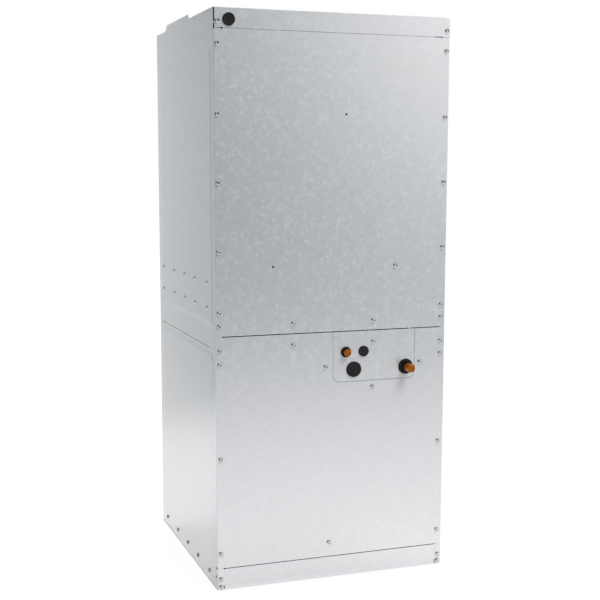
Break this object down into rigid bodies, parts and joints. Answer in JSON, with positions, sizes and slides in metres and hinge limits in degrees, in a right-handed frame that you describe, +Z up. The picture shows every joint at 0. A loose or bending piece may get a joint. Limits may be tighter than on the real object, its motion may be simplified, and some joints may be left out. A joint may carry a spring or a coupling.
{
  "type": "air handling unit",
  "caption": "Floor-standing air handling unit: stacked galvanised sheet-steel cabinet with screwed panels, open base return, flanged top supply opening and copper line stubs.",
  "frame": {"origin": "middle of the whole outline, stubs included, on the floor", "axes": "+Z up, front panels and stubs towards -Y, +X to the right seen from the front"},
  "size_m": [0.5354, 0.5648, 1.2513],
  "materials": {
    "galvanised": "bare galvanised sheet with a fine, low-contrast spangle",
    "copper": "drawn copper tube, lightly tarnished",
    "grommet": "matte black rubber",
    "plug": "black moulded plastic",
    "motor": "black enamel",
    "lining": "dark foam lining",
    "coil": "close aluminium fins",
    "pan": "dark moulded plastic"
  },
  "bodies": {
    "root": {"upper_side_left": "galvanised", "upper_side_right": "galvanised", "upper_back_panel": "galvanised", "lower_side_left": "galvanised", "lower_side_right": "galvanised", "lower_back_panel": "galvanised", "upper_front_panel": "galvanised", "lower_front_panel": "galvanised", "tube_plate": "galvanised", "top_cover": "galvanised", "top_panel": "galvanised", "header_rail": "galvanised", "supply_flange_left": "galvanised", "supply_flange_right": "galvanised", "supply_flange_front": "galvanised", "supply_flange_back": "galvanised", "base_front_strip": "galvanised", "base_rail_left": "galvanised", "base_rail_right": "galvanised", "base_rail_back": "galvanised", "upper_cross_rail": "galvanised", "lower_cross_rail": "galvanised", "small_grommet": "grommet", "large_grommet": "grommet", "small_stub": "copper", "large_stub": "copper", "header_plug": "plug", "large_hole_plug": "plug", "small_hole_plug": "plug", "blower_deck": "galvanised", "blower_side_left": "galvanised", "blower_side_right": "galvanised", "blower_scroll": "galvanised", "blower_wheel": "galvanised", "blower_motor": "motor", "plenum_divider": "galvanised", "upper_lining": "lining", "lower_lining": "lining", "coil_slab_left": "coil", "coil_slab_right": "coil", "coil_end_front": "galvanised", "coil_end_back": "galvanised", "drain_pan": "pan"}
  },
  "joints": []
}
